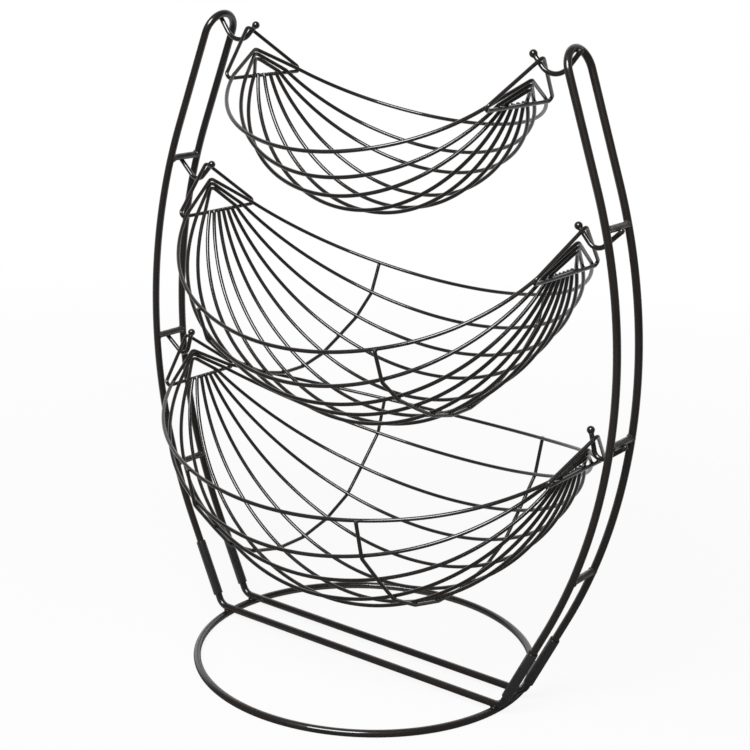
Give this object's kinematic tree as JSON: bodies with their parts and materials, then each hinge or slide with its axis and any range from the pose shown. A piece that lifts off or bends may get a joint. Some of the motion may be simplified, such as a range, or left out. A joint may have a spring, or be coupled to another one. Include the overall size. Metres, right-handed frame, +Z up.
{
  "type": "tiered hanging fruit basket",
  "caption": "Free-standing wire stand with bowed side frames on a round base, carrying hammock-shaped wire fruit baskets that hang one above another from ball-tipped hooks.",
  "frame": {"origin": "centre of the base ring on the table top", "axes": "+X to the right along the baskets' length, -Y to the front, +Z up"},
  "size_m": [0.4572, 0.2862, 0.5203],
  "materials": {
    "stand_coating": "gloss black coating on steel wire",
    "sleeve_coating": "gloss black coating on steel wire",
    "rung_coating": "gloss black coating on steel wire",
    "hook_coating": "gloss black coating on steel wire",
    "basket_coating": "gloss black coating on steel wire"
  },
  "bodies": {
    "stand": {"base_ring": "stand_coating", "base_wire_front": "stand_coating", "base_wire_rear": "stand_coating", "sleeve_left_front": "sleeve_coating", "sleeve_left_rear": "sleeve_coating", "sleeve_right_front": "sleeve_coating", "sleeve_right_rear": "sleeve_coating", "side_frame_left": "stand_coating", "side_frame_right": "stand_coating", "rung_upper_left": "rung_coating", "rung_middle_left": "rung_coating", "rung_lower_left": "rung_coating", "rung_upper_right": "rung_coating", "rung_middle_right": "rung_coating", "rung_lower_right": "rung_coating", "hook_top_left": "hook_coating", "hook_middle_left": "hook_coating", "hook_lower_left": "hook_coating", "hook_top_right": "hook_coating", "hook_middle_right": "hook_coating", "hook_lower_right": "hook_coating", "ball_top_left": "hook_coating", "ball_middle_left": "hook_coating", "ball_lower_left": "hook_coating", "ball_top_right": "hook_coating", "ball_middle_right": "hook_coating", "ball_lower_right": "hook_coating"},
    "top_basket": {"top_bail_left": "basket_coating", "top_bail_right": "basket_coating", "top_rim": "basket_coating", "top_second_loop": "basket_coating", "top_third_loop": "basket_coating", "top_ribs_set": "basket_coating"},
    "middle_basket": {"middle_bail_left": "basket_coating", "middle_bail_right": "basket_coating", "middle_rim": "basket_coating", "middle_second_loop": "basket_coating", "middle_third_loop": "basket_coating", "middle_ribs_set": "basket_coating", "middle_cross_wires": "basket_coating"},
    "lower_basket": {"lower_bail_left": "basket_coating", "lower_bail_right": "basket_coating", "lower_rim": "basket_coating", "lower_second_loop": "basket_coating", "lower_third_loop": "basket_coating", "lower_ribs_set": "basket_coating", "lower_cross_wires": "basket_coating"}
  },
  "joints": [
    {"name": "top_basket_swing", "type": "hinge", "parent": "stand", "child": "top_basket", "pos_m": [0, 0, 0.50413], "axis": [1, 0, 0], "range_deg": [-30, 30]},
    {"name": "middle_basket_swing", "type": "hinge", "parent": "stand", "child": "middle_basket", "pos_m": [0, 0, 0.38817], "axis": [1, 0, 0], "range_deg": [-30, 30]},
    {"name": "lower_basket_swing", "type": "hinge", "parent": "stand", "child": "lower_basket", "pos_m": [0, 0, 0.2344], "axis": [1, 0, 0], "range_deg": [-30, 30]}
  ]
}
